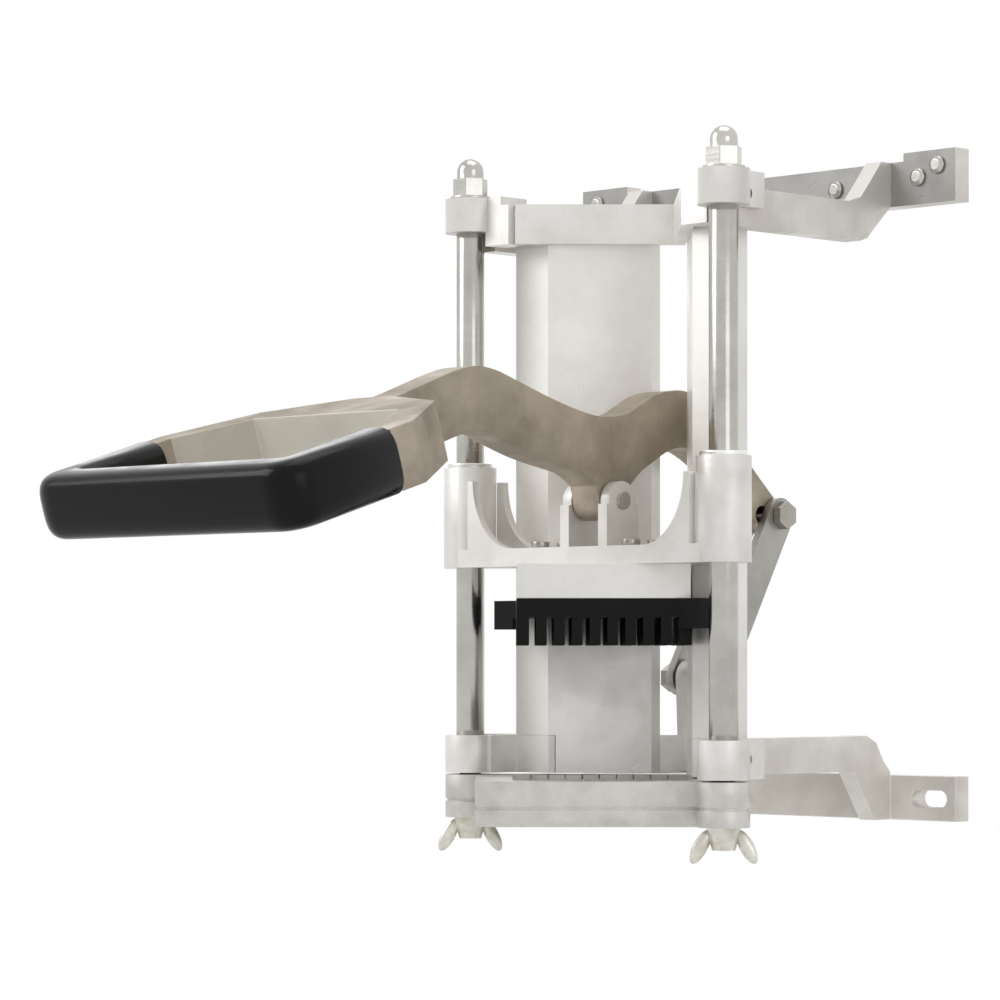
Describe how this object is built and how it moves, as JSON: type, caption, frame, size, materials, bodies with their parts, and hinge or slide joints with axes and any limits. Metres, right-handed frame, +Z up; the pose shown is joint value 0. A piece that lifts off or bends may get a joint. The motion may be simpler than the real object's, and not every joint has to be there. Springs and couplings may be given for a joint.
{
  "type": "french fry cutter",
  "caption": "Wall-mounted lever cutter: a slider on vertical rods pushes a potato through crossed knives, worked by a loop-handled lever.",
  "frame": {"origin": "middle of the lower wall plate's slots, on the face that lies against the wall", "axes": "+X from rod to rod, +Y into the wall, +Z up"},
  "size_m": [0.28, 0.4618, 0.3892],
  "materials": {
    "casting": "satin sand casting",
    "guide_casting": "satin sand casting",
    "bracket_casting": "satin sand casting",
    "frame_casting": "satin sand casting",
    "lever_casting": "dull tan cast surface",
    "pusher_metal": "machined",
    "bush_metal": "machined",
    "rod_steel": "ground",
    "bright_steel": "polished",
    "wing_steel": "cast and tumbled",
    "screw_steel": "dull",
    "link_steel": "mill finish",
    "knife_steel": "ground",
    "pusher_plastic": "moulded, matte",
    "grip_plastic": "glossy"
  },
  "bodies": {
    "frame": {"upper_head": "casting", "lower_head": "casting", "left_rod": "rod_steel", "right_rod": "rod_steel", "acorn_nuts": "bright_steel", "rod_washers": "bright_steel", "wing_nuts": "wing_steel", "left_guide": "guide_casting", "right_guide": "guide_casting", "guide_screws": "screw_steel", "upper_wall_bracket": "bracket_casting", "lower_wall_bracket": "bracket_casting", "bracket_screws": "screw_steel", "plate_rivets": "bright_steel", "blade_frame": "frame_casting", "upper_knives": "knife_steel", "lower_knives": "knife_steel", "anchor_bolt": "screw_steel", "anchor_nut": "screw_steel"},
    "slider_body": {"slider": "casting", "left_bush": "bush_metal", "right_bush": "bush_metal", "pusher_plate": "pusher_metal", "pusher_block": "pusher_plastic", "pusher_screws": "screw_steel", "lever_pin": "bright_steel", "pin_rings": "screw_steel"},
    "lever_body": {"lever": "lever_casting", "grip": "grip_plastic"},
    "link_body": {"left_link": "link_steel", "right_link": "link_steel", "link_bolt": "screw_steel", "link_nut": "screw_steel"}
  },
  "joints": [
    {"name": "slider_slide", "type": "slide", "parent": "frame", "child": "slider_body", "axis": [0, 0, -1], "range_m": [0, 0.08]},
    {"name": "lever_swing", "type": "hinge", "parent": "slider_body", "child": "lever_body", "pos_m": [0, -0.1456, 0.1625], "axis": [1, 0, 0], "range_deg": [0, 43]},
    {"name": "link_swing", "type": "hinge", "parent": "frame", "child": "link_body", "pos_m": [0, -0.0646, 0.066], "axis": [1, 0, 0], "range_deg": [0, 19]}
  ],
  "couplings": [
    {"joint": "lever_swing", "follows": "slider_slide", "rad_per_m": 9.331},
    {"joint": "link_swing", "follows": "slider_slide", "rad_per_m": 4.115}
  ]
}
